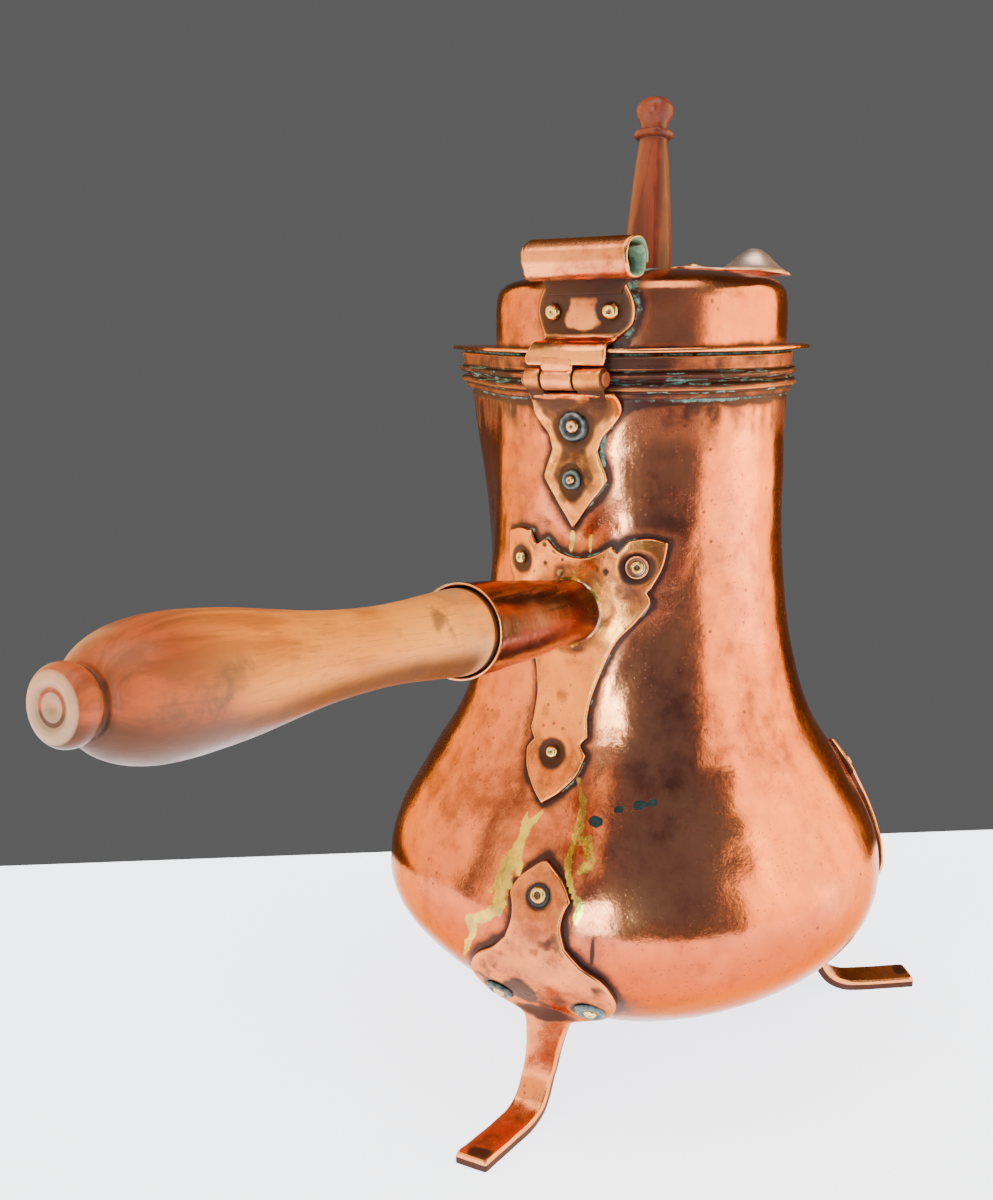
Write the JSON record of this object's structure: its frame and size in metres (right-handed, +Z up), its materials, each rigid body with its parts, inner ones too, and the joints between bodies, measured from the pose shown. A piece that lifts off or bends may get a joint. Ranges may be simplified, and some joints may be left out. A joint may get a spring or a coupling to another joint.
{
  "type": "chocolate pot",
  "caption": "Footed pear-shaped copper pot with a beak spout, a straight wooden side handle in a riveted socket, and a hinged domed lid with a wooden stirrer and a swivel hole cover.",
  "frame": {"origin": "on the vessel's axis, on the surface that the three feet stand on", "axes": "+Z up the vessel's axis; -Y towards the handle, the hinge and the front foot; -X towards the spout"},
  "size_m": [0.2058, 0.3642, 0.3515],
  "materials": {
    "copper_body": "hammered, polished, lightly tarnished copper",
    "copper_lid": "polished, tarnished copper",
    "copper_fittings": "forged copper strap with dark patina at its edges",
    "rivet_brass": "worn brass",
    "dark_washers": "oxidised copper with verdigris",
    "grip_wood": "turned, waxed and polished hardwood",
    "stirrer_wood": "turned reddish striped hardwood"
  },
  "bodies": {
    "pot": {"vessel": "copper_body", "rim_band": "copper_body", "hinge_lower_leaf": "copper_fittings", "hinge_pin": "rivet_brass", "hinge_lower_rivets": "rivet_brass", "hinge_lower_washers": "dark_washers", "handle_plate": "copper_fittings", "handle_rivets": "rivet_brass", "handle_washer": "dark_washers", "handle_socket": "copper_fittings", "handle_grip": "grip_wood", "front_foot": "copper_fittings", "front_foot_rivets": "rivet_brass", "front_foot_washers": "dark_washers", "right_foot": "copper_fittings", "right_foot_rivets": "rivet_brass", "right_foot_washers": "dark_washers", "left_foot": "copper_fittings", "left_foot_rivets": "rivet_brass", "left_foot_washers": "dark_washers"},
    "lid": {"lid_dome": "copper_lid", "lid_flange": "copper_lid", "lid_collar": "copper_lid", "hinge_upper_leaf": "copper_fittings", "hinge_upper_rivets": "rivet_brass", "cover_pivot_rivet": "rivet_brass"},
    "cover": {"swivel_cover": "copper_lid"},
    "stirrer": {"stirrer_rod": "stirrer_wood", "stirrer_head": "stirrer_wood"}
  },
  "joints": [
    {"name": "lid_open", "type": "hinge", "parent": "pot", "child": "lid", "pos_m": [0, -0.0608, 0.257], "axis": [1, 0, 0], "range_deg": [0, 85]},
    {"name": "cover_swing", "type": "hinge", "parent": "lid", "child": "cover", "pos_m": [0.0126, 0.0195, 0.29213], "axis": [0.0397, 0.0615, 0.9973], "range_deg": [-76, 146]},
    {"name": "stirrer_lift", "type": "slide", "parent": "lid", "child": "stirrer", "axis": [-0.0157, 0.1219, 0.9924], "range_m": [0, 0.284]}
  ],
  "couplings": [
    {"joint": "stirrer_lift", "follows": "lid_open", "m_per_rad": 0.19}
  ]
}
